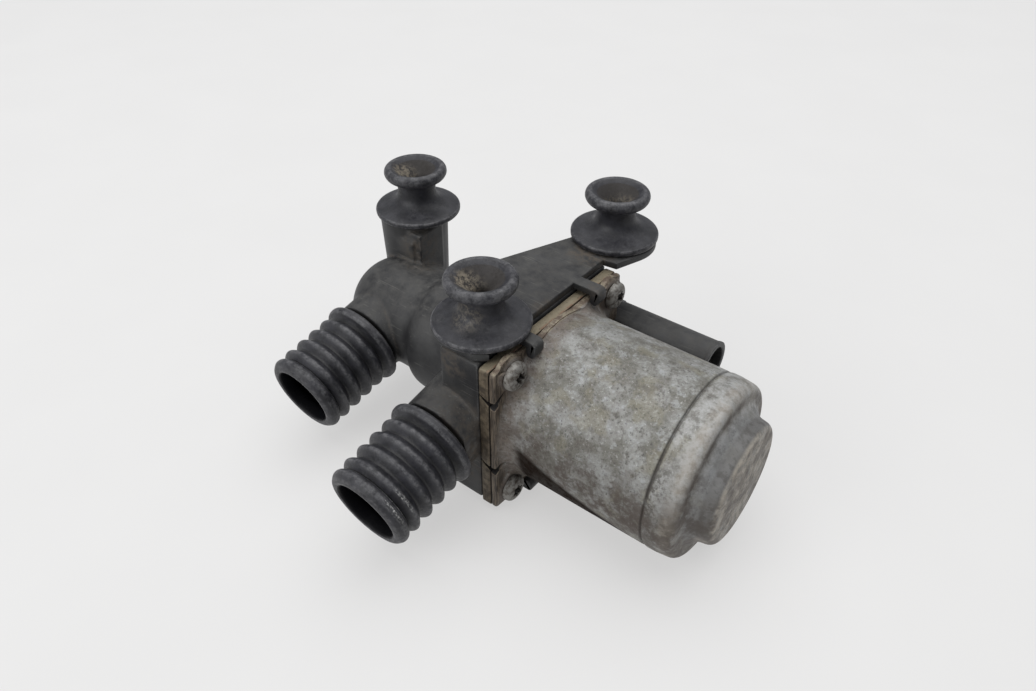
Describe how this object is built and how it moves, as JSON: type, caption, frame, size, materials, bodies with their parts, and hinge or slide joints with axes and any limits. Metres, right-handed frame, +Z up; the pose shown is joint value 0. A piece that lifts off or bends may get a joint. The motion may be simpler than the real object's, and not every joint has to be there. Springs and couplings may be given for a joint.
{
  "type": "solenoid valve",
  "caption": "Drawn-steel solenoid with a plug socket, screwed to a moulded two-port valve body that carries rubber bellows and rubber isolators.",
  "frame": {"origin": "middle of the footprint, on the table under the lower snap hooks", "axes": "+X along the solenoid's axis from valve body to can end, -Y out of the ports, +Z up through the isolators"},
  "size_m": [0.1396, 0.1192, 0.0708],
  "materials": {
    "valve_body": "satin",
    "mounting_bracket": "satin",
    "connector_housing": "satin",
    "isolator_1": "matte",
    "isolator_2": "matte",
    "isolator_3": "matte",
    "bellows_1": "matte",
    "bellows_2": "matte",
    "disc_seal": "matte",
    "stem_seal": "matte",
    "face_seal": "matte",
    "solenoid_can": "dull galvanised",
    "yoke_plate": "dull, tarnished",
    "flange_screw_1": "dull",
    "flange_screw_2": "dull",
    "flange_screw_3": "dull",
    "flange_screw_4": "dull",
    "pole_core": "bright",
    "plunger": "bright",
    "return_spring": "bright",
    "valve_stem": "bright",
    "retaining_clip": "bright",
    "stop_washer": "satin",
    "guide_tube": "satin",
    "guide_bush": "satin",
    "valve_disc": "satin",
    "seat_ring": "satin",
    "coil_winding": "enamelled wire",
    "bobbin": "satin",
    "terminal_pin_1": "tinned",
    "terminal_pin_2": "tinned"
  },
  "bodies": {
    "valve": {"valve_body": "valve_body", "mounting_bracket": "mounting_bracket", "connector_housing": "connector_housing", "isolator_1": "isolator_1", "isolator_2": "isolator_2", "isolator_3": "isolator_3", "bellows_1": "bellows_1", "bellows_2": "bellows_2", "stem_seal": "stem_seal", "face_seal": "face_seal", "solenoid_can": "solenoid_can", "yoke_plate": "yoke_plate", "flange_screw_1": "flange_screw_1", "flange_screw_2": "flange_screw_2", "flange_screw_3": "flange_screw_3", "flange_screw_4": "flange_screw_4", "pole_core": "pole_core", "return_spring": "return_spring", "stop_washer": "stop_washer", "guide_tube": "guide_tube", "guide_bush": "guide_bush", "seat_ring": "seat_ring", "coil_winding": "coil_winding", "bobbin": "bobbin", "terminal_pin_1": "terminal_pin_1", "terminal_pin_2": "terminal_pin_2"},
    "armature": {"plunger": "plunger", "valve_stem": "valve_stem", "valve_disc": "valve_disc", "disc_seal": "disc_seal", "retaining_clip": "retaining_clip"}
  },
  "joints": [
    {"name": "plunger_slide", "type": "slide", "parent": "valve", "child": "armature", "axis": [1, 0, 0], "range_m": [0, 0.003], "stiffness_N_per_m": 800, "springref_m": -0.006, "deforming": ["return_spring"]}
  ]
}
